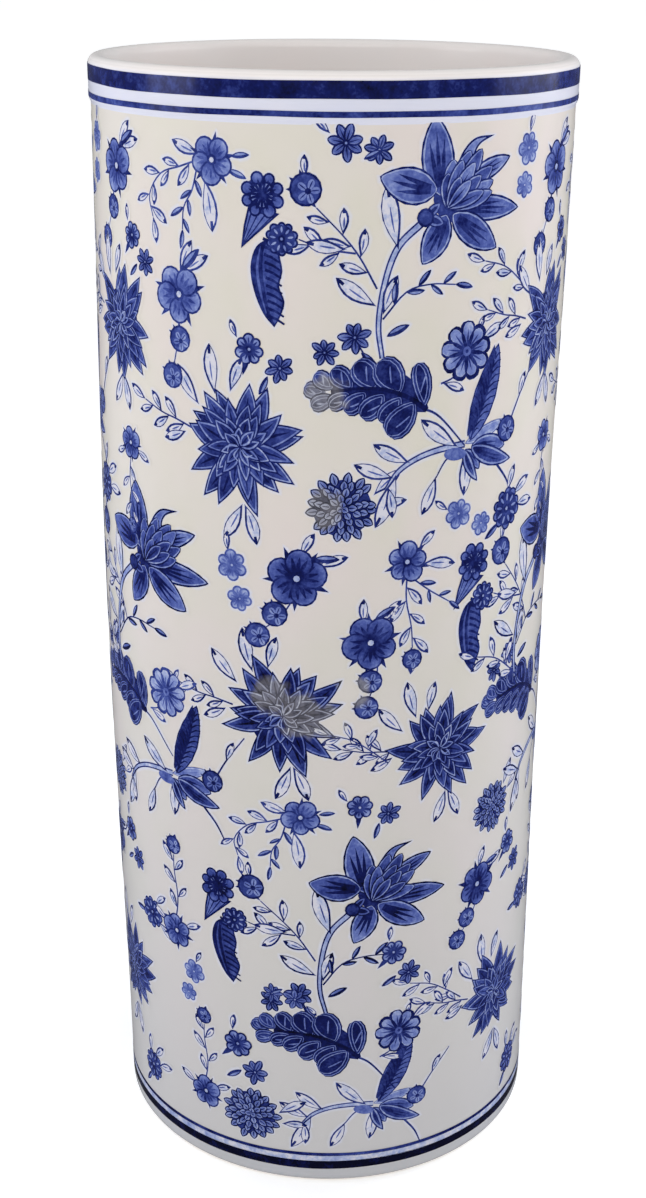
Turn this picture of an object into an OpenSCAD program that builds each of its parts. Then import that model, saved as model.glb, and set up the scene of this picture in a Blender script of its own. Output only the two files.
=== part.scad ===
// Cylindrical glazed ceramic umbrella stand, open at the top.
// The clay members are modelled as they are formed and luted together: each one is a
// separate solid that meets its neighbours face to face. The stand rests on z = 0 and
// its axis is the Z axis. Dimensions are in millimetres.

/* [Body] */
// Overall height, floor to the top of the lip
height = 600; // [420:5:700]
// Outer diameter of the wall below the rim collar
body_d = 243; // [180:1:300]
// Thickness of the wall
wall_t = 8; // [6:0.5:12]

/* [Rim] */
// Height of the rim collar, lip included
collar_h = 22.5; // [18:0.5:40]
// How far the collar stands out from the wall
collar_proud = 1; // [0.5:0.1:3]
// Height of the slope under the collar
collar_slope_h = 3; // [2:0.5:6]

/* [Foot] */
// Height of the foot ring
foot_h = 10; // [6:0.5:14]
// Radius of the rounded outer edge of the foot ring
foot_edge_r = 6.5; // [3:0.5:9]
// Width of the flat land that the stand rests on
foot_land_w = 8; // [5:0.5:14]

/* [Base] */
// Thickness of the base slab
base_t = 9; // [7:0.5:14]
// Radius of the cove in the inside corner, formed by a coil of clay
coil_r = 11; // [6:0.5:16]

/* [Hidden] */

$fn = 180;
outer_r = body_d / 2;
bore_r = outer_r - wall_t;
collar_r = outer_r + collar_proud;
collar_z = height - collar_h;
lip_r = (collar_r - bore_r) / 2;
foot_edge = min(foot_edge_r, foot_h);
foot_land_r = outer_r - foot_edge;
foot_inner_r = foot_land_r - foot_land_w;
base_top = foot_h + base_t;
glaze_white = "#e9e4dc";
bare_clay = "#d8cdbd";
// Cutting shapes run this far past the face they cut
overrun = 1;

// The straight tube between the foot ring and the rim collar
module body_wall() {
    color(glaze_white)
        translate([0, 0, foot_h])
            difference() {
                cylinder(h = collar_z - foot_h, r = outer_r);
                translate([0, 0, -overrun])
                    cylinder(h = collar_z - foot_h + 2 * overrun, r = bore_r);
            }
}

// The thickened rim: a slope out of the wall, a straight band and a fully rounded lip
module rim_collar() {
    color(glaze_white)
        translate([0, 0, collar_z])
            rotate_extrude() {
                polygon([
                    [bore_r, 0],
                    [outer_r, 0],
                    [collar_r, collar_slope_h],
                    [collar_r, collar_h - lip_r],
                    [bore_r, collar_h - lip_r]
                ]);
                translate([bore_r + lip_r, collar_h - lip_r])
                    circle(r = lip_r);
            }
}

// The ring under the wall: a quarter-round outer edge and a flat unglazed land
module foot_ring() {
    color(bare_clay)
        rotate_extrude()
            intersection() {
                union() {
                    translate([foot_inner_r, 0])
                        square([foot_land_w, foot_h]);
                    translate([foot_inner_r, foot_edge])
                        square([outer_r - foot_inner_r, foot_h - foot_edge]);
                    translate([foot_land_r, foot_edge])
                        circle(r = foot_edge);
                }
                translate([foot_inner_r, 0])
                    square([outer_r - foot_inner_r, foot_h]);
            }
}

// The disc that closes the bottom: it lies on the foot ring, inside the wall
module base_slab() {
    color(glaze_white)
        translate([0, 0, foot_h])
            cylinder(h = base_t, r = bore_r);
}

// The coil of clay worked into the corner between the slab and the wall
module seam_coil() {
    color(glaze_white)
        translate([0, 0, base_top])
            rotate_extrude()
                difference() {
                    translate([bore_r - coil_r, 0])
                        square([coil_r, coil_r]);
                    translate([bore_r - coil_r, coil_r])
                        circle(r = coil_r);
                }
}

body_wall();
rim_collar();
foot_ring();
base_slab();
seam_coil();
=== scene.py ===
import cmath
import math
import random

import bpy
from mathutils import Matrix, Vector, geometry


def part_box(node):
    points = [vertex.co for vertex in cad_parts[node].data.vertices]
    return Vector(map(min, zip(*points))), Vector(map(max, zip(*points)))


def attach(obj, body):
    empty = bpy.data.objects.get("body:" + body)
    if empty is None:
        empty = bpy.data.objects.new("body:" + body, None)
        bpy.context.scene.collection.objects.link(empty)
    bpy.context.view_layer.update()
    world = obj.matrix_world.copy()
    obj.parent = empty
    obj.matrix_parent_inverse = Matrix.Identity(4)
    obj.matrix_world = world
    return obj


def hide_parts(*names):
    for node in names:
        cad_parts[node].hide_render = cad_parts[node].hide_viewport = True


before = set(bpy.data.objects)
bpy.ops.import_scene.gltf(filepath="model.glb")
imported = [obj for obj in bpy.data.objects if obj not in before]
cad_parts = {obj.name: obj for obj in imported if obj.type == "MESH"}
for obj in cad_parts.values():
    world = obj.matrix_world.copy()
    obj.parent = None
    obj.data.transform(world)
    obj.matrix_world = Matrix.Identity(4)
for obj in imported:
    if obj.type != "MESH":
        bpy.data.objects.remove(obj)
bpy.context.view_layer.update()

# The umbrella stand's looks. The five clay members are turned as fine lathe meshes in the CAD
# model's own sizes, and the painted decoration is a set of thin sheets that lie on the glaze.
# The painting is drawn flat, in millimetres, as complex numbers: the real part runs round the
# wall, the imaginary part is the height. It is then wrapped round the wall.

MM = 0.001


def millimetres(node):
    """A node's outer radius, lowest and highest point, in millimetres."""
    low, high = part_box(node)
    return (high[0] - low[0]) / 2 / MM, low[2] / MM, high[2] / MM


WALL_R, WALL_LOW, WALL_HIGH = millimetres("body_wall")
COLLAR_R, COLLAR_LOW, HEIGHT = millimetres("rim_collar")
BORE_R, SLAB_LOW, SLAB_HIGH = millimetres("base_slab")
FOOT_H = millimetres("foot_ring")[2]
COIL_R = millimetres("seam_coil")[2] - SLAB_HIGH
GIRTH = 2 * math.pi * WALL_R

FOOT_LAND = 8.0        # width of the flat land that the stand rests on
FOOT_EDGE = 6.5        # radius of the foot ring's rounded edge
COLLAR_SLOPE = 3.0     # height of the slope under the collar
PAINT_LIFT = 0.12      # how far the paint lies above the glaze, enough to clear its facets
PAINT_STEP = 0.02      # and how much further the next spray does
HALO_LIFT = 0.05       # how far the pale bleed round the paint lies above the glaze
HALO_STEP = 0.012      # and how much further the next repeat's does
BLEED_FULL = 0.35      # how far from the paint the bleed is at full strength
BLEED_END = 2.1        # and where it ends
REPEATS = 3            # the decoration repeats this many times round the wall
SEGMENTS = 264         # round the lathe meshes
TURNS = [2 * math.pi * s / SEGMENTS for s in range(SEGMENTS)]
GLOSS = 0.3            # specular level of every glaze
SHARP = 35.0           # edges of the turned pieces sharper than this, in degrees, stay crisp


# ---------------------------------------------------------------- camera and light

CAMERA_BACK = 0.933    # metres in front of the stand's axis
CAMERA_UP = 0.658      # metres above the floor
CAMERA_PITCH = 23.76   # degrees below level
CAMERA_ROLL = 0.355
CAMERA_YAW = 0.12
CAMERA_LENS = 53.04
CAMERA_SHIFT = 0.086
SKY, BELOW = 0.45, 0.08            # strength of the world's light above and below the horizon
GLOW_NEAR, GLOW_FAR = 0.40, 0.64   # how much the floor glows beside the stand and away from it
COOL = (0.95, 0.965, 1.0)
WARM = (1.0, 0.985, 0.96)
BLUISH = (0.84, 0.90, 1.0)
LIGHTS = (  # name, place, aimed at, size, watts, colour, seen in the glaze
    ("left_softbox", (-1.45, -0.36, 0.93), (0.0, 0.0, 0.75), (0.75, 0.95), 5.4, COOL, True),
    ("right_softbox", (1.48, 0.20, 0.93), (0.0, 0.0, 0.75), (1.25, 0.95), 6.6, COOL, True),
    ("front_fill", (0.0, -1.15, 1.35), (0.0, 0.0, 0.5), (1.6, 0.7), 7.2, WARM, True),
    ("left_edge", (-1.05, 0.55, 0.35), (0.0, 0.0, 0.3), (0.6, 0.9), 7.0, BLUISH, False),
    ("right_edge", (1.05, 0.55, 0.35), (0.0, 0.0, 0.3), (0.6, 0.9), 7.0, BLUISH, False),
)


def linked(name, data):
    """A new object in the scene."""
    item = bpy.data.objects.new(name, data)
    bpy.context.collection.objects.link(item)
    return item


def make_camera():
    data = bpy.data.cameras.new("camera")
    data.sensor_width = 36.0
    data.lens = CAMERA_LENS
    data.shift_y = CAMERA_SHIFT
    camera = linked("camera", data)
    tilt = Matrix.Rotation(math.radians(90.0 - CAMERA_PITCH), 4, "X")
    roll = Matrix.Rotation(math.radians(CAMERA_ROLL), 4, "Z")
    yaw = Matrix.Rotation(math.radians(CAMERA_YAW), 4, "Z")
    camera.matrix_world = Matrix.Translation((0.0, -CAMERA_BACK, CAMERA_UP)) @ yaw @ tilt @ roll
    bpy.context.scene.camera = camera


def make_lights():
    """Two side softboxes that stop above the rim's height, so the rim mirrors them, a fill from the
    front, and two low lights behind that only brighten the sides."""
    for name, place, target, size, power, color, mirrored in LIGHTS:
        data = bpy.data.lights.new(name, "AREA")
        data.shape = "RECTANGLE"
        data.size, data.size_y = size
        data.energy = power
        data.color = color
        light = linked(name, data)
        light.location = place
        light.rotation_euler = (Vector(target) - Vector(place)).to_track_quat("-Z", "Y").to_euler()
        light.visible_glossy = mirrored


def make_world():
    """A soft light from above the horizon. It is dark below, which only mirror reflections see.
    The camera sees it plain white, as the photograph's backdrop is."""
    world = bpy.data.worlds.new("white_room")
    bpy.context.scene.world = world
    world.use_nodes = True
    nodes, links = world.node_tree.nodes, world.node_tree.links
    where = nodes.new("ShaderNodeTexCoord")
    split = nodes.new("ShaderNodeSeparateXYZ")
    rise = nodes.new("ShaderNodeMapRange")
    for key, number in (("From Min", -0.06), ("From Max", 0.0), ("To Min", BELOW), ("To Max", SKY)):
        rise.inputs[key].default_value = number
    links.new(where.outputs["Generated"], split.inputs[0])
    links.new(split.outputs["Z"], rise.inputs["Value"])
    seen = nodes.new("ShaderNodeLightPath")
    backdrop = nodes.new("ShaderNodeMath")
    backdrop.operation = "MAXIMUM"
    links.new(rise.outputs[0], backdrop.inputs[0])
    links.new(seen.outputs["Is Camera Ray"], backdrop.inputs[1])
    links.new(backdrop.outputs[0], nodes["Background"].inputs["Strength"])
    nodes["Background"].inputs["Color"].default_value = (0.96, 0.98, 1.0, 1.0)


# ---------------------------------------------------------------- materials and floor

class Nodes:
    """A material's node tree, with short ways to add to it."""

    def __init__(self, name):
        self.material = bpy.data.materials.new(name)
        self.material.use_nodes = True
        self.tree = self.material.node_tree
        self.shader = self.tree.nodes["Principled BSDF"]
        self.where = self.add("ShaderNodeTexCoord").outputs["Object"]

    def add(self, kind, **settings):
        node = self.tree.nodes.new(kind)
        for key, value in settings.items():
            setattr(node, key, value)
        return node

    def link(self, source, target):
        self.tree.links.new(source, target)

    def noise(self, scale, detail=2.0, stretch=None):
        """Noise of a given scale, in features per metre."""
        node = self.add("ShaderNodeTexNoise")
        node.inputs["Scale"].default_value = scale
        node.inputs["Detail"].default_value = detail
        place = self.where
        if stretch:
            squeeze = self.add("ShaderNodeMapping")
            squeeze.inputs["Scale"].default_value = stretch
            self.link(place, squeeze.inputs["Vector"])
            place = squeeze.outputs["Vector"]
        self.link(place, node.inputs["Vector"])
        return node.outputs["Fac"]

    def span(self, value, low, high, to_low=0.0, to_high=1.0):
        """The value's stretch from low to high, spread over to_low to to_high."""
        node = self.add("ShaderNodeMapRange")
        for key, number in (("From Min", low), ("From Max", high), ("To Min", to_low), ("To Max", to_high)):
            node.inputs[key].default_value = number
        self.link(value, node.inputs["Value"])
        return node.outputs["Result"]

    def math(self, first, second, operation="ADD"):
        node = self.add("ShaderNodeMath", operation=operation)
        self.link(first, node.inputs[0])
        self.link(second, node.inputs[1])
        return node.outputs[0]

    def mix(self, share, first, second):
        """A colour between first and second, each an output or a colour."""
        node = self.add("ShaderNodeMix", data_type="RGBA")
        self.link(share, node.inputs["Factor"])
        for socket, value in ((node.inputs[6], first), (node.inputs[7], second)):
            if isinstance(value, tuple):
                socket.default_value = (*value, 1.0)
            else:
                self.link(value, socket)
        return node.outputs[2]

    def ramp(self, value, stops):
        node = self.add("ShaderNodeValToRGB")
        ramp = node.color_ramp
        while len(ramp.elements) < len(stops):
            ramp.elements.new(0.5)
        for element, (position, color) in zip(ramp.elements, stops):
            element.position = position
            element.color = (*color, 1.0)
        self.link(value, node.inputs["Fac"])
        return node.outputs["Color"]

    def bump(self, height, distance):
        node = self.add("ShaderNodeBump")
        node.inputs["Distance"].default_value = distance
        self.link(height, node.inputs["Height"])
        self.link(node.outputs["Normal"], self.shader.inputs["Normal"])

    def height(self):
        node = self.add("ShaderNodeSeparateXYZ")
        self.link(self.where, node.inputs[0])
        return node.outputs["Z"]

    def attribute(self, name):
        return self.add("ShaderNodeAttribute", attribute_name=name).outputs["Fac"]

    def set(self, **constants):
        """Shader inputs by name, with underscores for the spaces."""
        for key, value in constants.items():
            self.shader.inputs[key.replace("_", " ")].default_value = value

    def glazed(self, color, roughness=0.2, waves=55.0, stretch=None, depth=0.0002):
        """The finished material: the colour under a gloss glaze with slow waves in it."""
        self.link(color, self.shader.inputs["Base Color"])
        self.bump(self.noise(waves, 1.0, stretch), depth)
        self.set(Roughness=roughness, Specular_IOR_Level=GLOSS)
        return self.material


def make_floor():
    """The white floor, a little brighter away from the stand. The glaze does not mirror it, because
    the photograph, whose backdrop was cut out, shows no bright floor in the glaze."""
    half = 100.0
    mesh = bpy.data.meshes.new("floor")
    corners = [(-half, -half, 0), (half, -half, 0), (half, half, 0), (-half, half, 0)]
    mesh.from_pydata(corners, [], [(0, 1, 2, 3)])
    floor = linked("floor", mesh)
    floor.visible_glossy = False
    n = Nodes("pale_floor")
    n.set(Base_Color=(0.85, 0.85, 0.85, 1.0), Roughness=0.9, Specular_IOR_Level=0.0)
    n.set(Emission_Color=(1.0, 1.0, 1.0, 1.0))
    far = n.add("ShaderNodeVectorMath", operation="LENGTH")
    n.link(n.where, far.inputs[0])
    n.link(n.span(far.outputs["Value"], 0.5, 1.5, GLOW_NEAR, GLOW_FAR), n.shader.inputs["Emission Strength"])
    mesh.materials.append(n.material)


CREAM = (0.65, 0.605, 0.555)
STRAW = (0.635, 0.60, 0.525)
PINK = (0.67, 0.60, 0.57)
# painted shade: the grey that the ground colour darkens to towards the foot
SHADE_NEAR_FOOT = (0.525, 0.515, 0.525)
TINT = (0.60, 0.615, 0.735)
WHITE = (0.83, 0.785, 0.765)


def ground_color(n):
    """The glaze over the bare body: cream, with faint straw and pink clouds, and painted shade that greys it
    towards the foot.
    """
    straw = n.span(n.noise(26.0, 2.0), 0.40, 0.66)
    blush = n.span(n.noise(19.0, 2.0, (1.0, 1.0, 0.6)), 0.46, 0.68)
    # painted shade: the ground colour is mixed towards a grey lower down, darkest at the foot
    low = n.span(n.height(), 0.02, 0.42, 0.9, 0.0)
    return n.mix(low, n.mix(blush, n.mix(straw, CREAM, STRAW), PINK), SHADE_NEAR_FOOT)


def glaze_material():
    n = Nodes("white_glaze")
    return n.glazed(ground_color(n))


def halo_material():
    """The glaze beside the painting, where the cobalt has bled a little blue into it."""
    n = Nodes("tinted_glaze")
    blotches = n.span(n.noise(120.0, 2.0), 0.3, 0.7, 0.45, 1.0)
    uneven = n.math(n.attribute("ink"), blotches, "MULTIPLY")
    return n.glazed(n.mix(uneven, ground_color(n), TINT))


def rim_material():
    """White glaze on the lip, tinted by the cobalt on the collar's side."""
    n = Nodes("rim_glaze")
    lip = n.span(n.height(), (HEIGHT - 4.6) * MM, (HEIGHT - 2.6) * MM)
    tinted = n.mix(n.noise(60.0), TINT, (0.66, 0.65, 0.72))
    warm = n.mix(n.noise(18.0, 3.0), WHITE, (0.85, 0.79, 0.765))
    return n.glazed(n.mix(lip, tinted, warm), 0.18, 40.0, (0.3, 0.3, 1.0), 0.0003)


def inside_material():
    n = Nodes("inside_glaze")
    # painted light: the same glaze as on the lip, painted lighter here to stand in for the light inside the
    # bore
    clouds = n.span(n.noise(18.0, 3.0), 0.35, 0.65)
    white = n.mix(clouds, (0.90, 0.855, 0.835), (0.92, 0.855, 0.83))
    return n.glazed(white, 0.2, 40.0, (0.3, 0.3, 1.0), 0.0005)


def foot_material():
    """White glaze, wiped off the land, where the biscuit body shows. The glaze is painted a grey darker than
    on the wall, as painted shade near the floor.
    """
    n = Nodes("foot_glaze")
    edge = n.math(n.height(), n.span(n.noise(60.0), 0.0, 1.0, -0.0005, 0.0005))
    bare = n.span(edge, 0.0009, 0.0014, 1.0, 0.0)
    clay = n.mix(n.noise(400.0, 4.0), (0.52, 0.44, 0.35), (0.66, 0.58, 0.49))
    # painted shade: the glazed part is given a grey darker than the wall's glaze
    glazed = n.mix(n.noise(20.0), (0.47, 0.475, 0.52), (0.50, 0.495, 0.49))
    n.link(n.span(bare, 0.0, 1.0, 0.2, 0.85), n.shader.inputs["Roughness"])
    return n.glazed(n.mix(bare, glazed, clay))


DEEPEST = 1.3
COBALT = [  # ink, colour
    (0.00, (0.60, 0.59, 0.66)),
    (0.15, (0.36, 0.41, 0.61)),
    (0.35, (0.175, 0.225, 0.49)),
    (0.55, (0.078, 0.112, 0.36)),
    (0.75, (0.028, 0.046, 0.225)),
    (1.00, (0.0035, 0.008, 0.090)),
    (1.30, (0.0008, 0.0012, 0.014)),
]


def cobalt_material():
    """Cobalt under the glaze: the ink attribute sets its depth, and the wash is uneven. The
    faded attribute marks where the cobalt turned grey in the kiln."""
    n = Nodes("cobalt_glaze")
    pooled = n.math(n.attribute("ink"), n.span(n.noise(170.0, 2.0), 0.28, 0.72, -0.15, 0.13))
    grained = n.math(pooled, n.span(n.noise(700.0, 3.0), 0.25, 0.75, -0.10, 0.10))
    share = n.span(grained, 0.0, DEEPEST)
    blue = n.ramp(share, [(ink / DEEPEST, color) for ink, color in COBALT])
    grey = n.add("ShaderNodeHueSaturation")
    grey.inputs["Saturation"].default_value = 0.33
    grey.inputs["Value"].default_value = 1.05
    n.link(blue, grey.inputs["Color"])
    chalky = n.span(n.noise(300.0), 0.3, 0.7, 0.1, 0.45)
    washed = n.mix(chalky, grey.outputs["Color"], (0.19, 0.18, 0.21))
    ragged = n.math(n.attribute("faded"), n.span(n.noise(160.0, 2.0), 0.3, 0.7, -0.25, 0.25))
    return n.glazed(n.mix(n.span(ragged, 0.3, 0.7), blue, washed), 0.18)


# ---------------------------------------------------------------- the turned body

OUT_OF_ROUND = 0.16
DRAWN_IN = 0.35
LEAN = 1.3


def wobble(angle, height):
    """How far the turned surface strays from true, in millimetres: it is slightly out of round,
    draws in a little at both ends, and its middle leans to the left of the photograph."""
    ends = math.cos(2 * math.pi * height / HEIGHT)
    slow = math.sin(2 * angle + height / 95.0) + 0.7 * math.sin(3 * angle - height / 60.0 + 1.3)
    return OUT_OF_ROUND * slow - DRAWN_IN * (1 + ends) + LEAN * ends * math.sin(angle)


def on_wall(radius, angle, height):
    """A point on a turned surface, in metres. Angle 0 faces the front and grows to the right."""
    r = (radius + wobble(angle, height)) * MM
    return Vector((r * math.sin(angle), -r * math.cos(angle), height * MM))


def arc(centre_r, centre_z, radius, start, end, steps):
    """A stretch of a round profile, as radius and height, from one angle to another."""
    turns = [math.radians(start + (end - start) * k / steps) for k in range(steps + 1)]
    return [(centre_r + radius * math.cos(a), centre_z + radius * math.sin(a)) for a in turns]


def rise(radius, low, high, step=12.0):
    """A straight upright stretch of a profile."""
    count = max(1, round(abs(high - low) / step))
    return [(radius, low + (high - low) * k / count) for k in range(count + 1)]


def without_doubles(outline, gap):
    """A closed outline of complex numbers without points that fall on the one before."""
    kept = []
    for p in outline:
        if not kept or abs(p - kept[-1]) > gap:
            kept.append(p)
    if abs(kept[0] - kept[-1]) < gap:
        kept.pop()
    return kept


def new_object(name, points, faces, materials):
    mesh = bpy.data.meshes.new(name)
    mesh.from_pydata(points, [], faces)
    for material in materials:
        mesh.materials.append(material)
    mesh.validate()
    mesh.update()
    return linked(name, mesh)


def hoop_faces(rows, strips):
    """The faces of a turned surface: strips of them along each upright line of rows points."""
    faces = []
    for s in range(SEGMENTS):
        after = (s + 1) % SEGMENTS
        for k in range(strips):
            nxt = (k + 1) % rows
            faces.append((s * rows + k, after * rows + k, after * rows + nxt, s * rows + nxt))
    return faces


def turned(name, profile, materials, inner=0.0):
    """A ring turned from a closed profile. Faces whose middle is inside radius inner take slot 1."""
    profile = without_doubles([complex(r, z) for r, z in profile], 1e-4)
    rows = len(profile)
    points = [on_wall(p.real, angle, p.imag) for angle in TURNS for p in profile]
    middles = [(p.real + q.real) / 2 for p, q in zip(profile, profile[1:] + profile[:1])]
    slots = [int(middle < inner) for middle in middles] * SEGMENTS
    return shaded(new_object(name, points, hoop_faces(rows, rows), materials), slots)


def shaded(piece, slots):
    """The piece with each face's material set, shaded smooth but for its sharp edges."""
    piece.data.polygons.foreach_set("material_index", slots)
    piece.data.shade_smooth()
    piece.data.set_sharp_from_angle(angle=math.radians(SHARP))
    return piece


def body_wall(outside, inside):
    outer = rise(WALL_R, WALL_LOW, WALL_HIGH)
    inner = rise(BORE_R, WALL_HIGH, WALL_LOW)
    return turned("glazed_wall", outer + inner, [outside, inside], WALL_R - 2.0)


def rim_collar(outside, inside):
    lip = (COLLAR_R - BORE_R) / 2
    heights = [COLLAR_LOW + COLLAR_SLOPE * k / 6 for k in range(7)]
    slope = [(rim_radius(z), z) for z in heights]
    side = rise(COLLAR_R, COLLAR_LOW + COLLAR_SLOPE, HEIGHT - lip, 6.0)
    over = arc(BORE_R + lip, HEIGHT - lip, lip, 0, 180, 14)
    back = rise(BORE_R, HEIGHT - lip, COLLAR_LOW, 6.0)
    return turned("glazed_rim", slope + side + over + back, [outside, inside], COLLAR_R - 1.0)


def foot_ring(glaze):
    land, inside, bevel = WALL_R - FOOT_EDGE, WALL_R - FOOT_EDGE - FOOT_LAND, 1.2
    outer = arc(land, FOOT_EDGE, FOOT_EDGE, -90, 0, 10) + [(WALL_R, FOOT_H)]
    inner = [(inside, FOOT_H), (inside, bevel), (inside + bevel, 0.0)]
    return turned("foot_rim", outer + inner, [glaze])


def seam_coil(inside):
    cove = arc(BORE_R - COIL_R, SLAB_HIGH + COIL_R, COIL_R, -90, 0, 8)
    return turned("inside_cove", [(BORE_R, SLAB_HIGH)] + cove[::-1], [inside])


def base_slab(inside, under):
    """The disc inside the wall: glazed on top, with faint turning rings."""
    points, faces, slots = [], [], []
    radii = [BORE_R * k / 14 for k in range(1, 15)]
    for height, sign in ((SLAB_HIGH, 1), (SLAB_LOW, 0)):
        first = len(points)
        points.append(Vector((0, 0, height * MM)))
        for r in radii:
            lift = 0.12 * math.sin(r / 3.0) * (1 - r / BORE_R) * sign
            for angle in TURNS:
                point = on_wall(r, angle, height)
                points.append(Vector((point.x, point.y, (height + lift) * MM)))
        for s in range(SEGMENTS):
            after = (s + 1) % SEGMENTS
            fan = [first, first + 1 + s, first + 1 + after]
            faces.append(fan if sign else fan[::-1])
            slots.append(1 - sign)
            for k in range(len(radii) - 1):
                a, b = first + 1 + k * SEGMENTS, first + 1 + (k + 1) * SEGMENTS
                quad = [a + s, b + s, b + after, a + after]
                faces.append(quad if sign else quad[::-1])
                slots.append(1 - sign)
    top, low = 1 + (len(radii) - 1) * SEGMENTS, len(points) - SEGMENTS
    for s in range(SEGMENTS):
        after = (s + 1) % SEGMENTS
        faces.append([low + s, low + after, top + after, top + s])
        slots.append(0)
    return shaded(new_object("floor_slab", points, faces, [inside, under]), slots)


# ---------------------------------------------------------------- drawing on the flat
# A shape is (outline, ink at start, ink at end, start, end): its ink runs from one depth to
# another between two points. Outlines are lists of complex numbers, in millimetres.

UP = 1j


def flat(outline, ink):
    return (outline, ink, ink, 0j, UP)


def graded(outline, ink_start, ink_end, start, end):
    return (outline, ink_start, ink_end, start, end)


def disc(radius, ink, steps, place=0j):
    return flat(ring(radius, steps, place), ink)


def outward(step, angle):
    """A step turned anticlockwise by an angle in degrees."""
    return step * cmath.rect(1.0, math.radians(angle))


def spine(length, bend, t):
    """The point on a leaf's midline that lies a share t of the way from root to tip."""
    return complex(bend * length * t * t, length * t)


def scaled(points, size):
    return [(x * size, y * size) for x, y in points]


def moved(shapes, place, turn=0.0, size=1.0, flip=False):
    """The shapes turned anticlockwise by turn degrees, scaled, and carried to place."""
    spin = cmath.rect(size, math.radians(turn))

    def carry(p):
        return place + spin * (-p.conjugate() if flip else p)

    return [([carry(p) for p in line], i0, i1, carry(a), carry(b)) for line, i0, i1, a, b in shapes]


def blade(length, width, root=0.6, tip=0.6, bend=0.0, inset=0.0, start=0.0, steps=8):
    """A leaf or petal outline that stands on 0 and points up. Powers root and tip below 0.5
    make round ends and about 1 make pointed ends."""
    peak = root / (root + tip)
    widest = peak ** root * (1 - peak) ** tip

    def half(t):
        return width / 2 * t ** root * (1 - t) ** tip / widest - inset

    inside = [k / 60 for k in range(61) if k / 60 >= start and half(k / 60) > 0]
    if len(inside) < 3:
        return None
    low, high = inside[0], inside[-1]
    if inset == 0:
        low, high = max(start, 0.0), 1.0
    right, left = [], []
    for k in range(steps + 1):
        t = low + (high - low) * (1 - math.cos(math.pi * k / steps)) / 2
        centre = spine(length, bend, t)
        ahead = complex(2 * bend * t, 1.0)
        side = ahead / abs(ahead) * -1j * max(half(t), 0.0)
        right.append(centre + side)
        left.append(centre - side)
    return right + left[::-1]


def ring(radius, steps, place=0j):
    turns = [2 * math.pi * k / steps for k in range(steps)]
    return [place + complex(radius * math.cos(a), radius * math.sin(a)) for a in turns]


def smooth_line(points, per=5):
    """A smooth curve through the points."""
    p = [complex(*q) if isinstance(q, tuple) else q for q in points]
    p = [2 * p[0] - p[1]] + p + [2 * p[-1] - p[-2]]
    line = []
    for i in range(1, len(p) - 2):
        a, b, c, d = p[i - 1:i + 3]
        for k in range(per):
            t = k / per
            line.append(0.5 * (2 * b + (c - a) * t + (2 * a - 5 * b + 4 * c - d) * t * t
                               + (3 * b - a - 3 * c + d) * t ** 3))
    return line + [p[-2]]


def stroke(line, start, end, swell=0.0):
    """A brush stroke along a line, its width going from start to end, fuller in the middle."""
    right, left = [], []
    last = len(line) - 1
    for k, point in enumerate(line):
        ahead = line[min(k + 1, last)] - line[max(k - 1, 0)]
        t = k / last
        width = start + (end - start) * t + swell * math.sin(math.pi * t)
        side = ahead / abs(ahead) * -1j * max(width, 0.04) / 2
        right.append(point + side)
        left.append(point - side)
    return right + left[::-1]


def petal(length, width, line=0.7, rim=0.9, root=0.6, tip=0.6, bend=0.0, start=0.0,
          inks=(0.95, 0.30, 0.62), deep=0.9, veins=1):
    """A painted petal: dark outline, pale rim, a wash that deepens to the root, and veins."""
    look = dict(root=root, tip=tip, bend=bend, start=start)
    shapes = [flat(blade(length, width, **look), inks[0])]
    pale = blade(length, width, inset=line, steps=7, **look)
    if pale:
        shapes.append(flat(pale, inks[1]))
    wash = blade(length, width, inset=line + rim, steps=6, **look)
    if wash:
        shapes.append(graded(wash, min(1.0, inks[2] + 0.25), inks[2], 0j, UP * length))
        for v in range(veins):
            off = v - (veins - 1) / 2
            lean = off * width * 0.22
            foot, top = max(start, 0.12) * length, length * (0.80 - 0.10 * abs(off))
            route = []
            for t in (0.0, 0.35, 0.7, 1.0):
                up = foot + (top - foot) * t
                route.append(complex(lean * (0.3 + 0.7 * t) + bend * length * (up / length) ** 2, up))
            shapes.append(flat(stroke(route, 0.12 * width, 0.0, 0.06 * width), deep))
    return shapes


# ---------------------------------------------------------------- flowers

def around(count, make, jitter, rng, phase=0.0):
    """What make(k) draws, repeated round a centre."""
    shapes = []
    for k in range(count):
        angle = 360.0 * k / count + phase + rng.uniform(-jitter, jitter)
        shapes += moved(make(k), 0j, angle)
    return shapes


def laid(here, there, width, **look):
    """A petal that runs from here to there."""
    run = there - here
    return moved(petal(abs(run), width, **look), here, math.degrees(cmath.phase(run)) - 90.0)


def dahlia(r, rng):
    """Layer on layer of pointed petals, uneven in length and ink, with pale rims."""
    shapes = [disc(0.62 * r, 0.9, 20)]
    layers = ((14, 1.12, 0.38, 0.36), (13, 0.86, 0.32, 0.28), (11, 0.62, 0.27, 0.16), (8, 0.38, 0.20, 0.0))
    for count, reach, width, start in layers:
        def one(k, reach=reach, width=width, start=start):
            length = r * reach * rng.uniform(0.84, 1.08)
            look = dict(line=0.8, rim=rng.uniform(0.5, 0.9), root=0.9, tip=1.1,
                        bend=rng.uniform(-0.20, 0.20), start=start)
            fill = rng.uniform(0.66, 0.90)
            return petal(length, width * r * rng.uniform(0.85, 1.1),
                         inks=(0.98, rng.uniform(0.30, 0.5), fill), deep=1.1, **look)
        shapes += around(count, one, 8.0, rng, rng.uniform(0, 30))
    for k in range(5):
        curl = smooth_line([(0.05 * r, 0.02 * r), (0.16 * r, 0.09 * r), (0.13 * r, 0.2 * r)], 3)
        shapes += moved([flat(stroke(curl, 0.5, 0.3, 0.4), 0.34)], 0j, 72 * k + rng.uniform(-15, 15))
    return shapes


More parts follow.
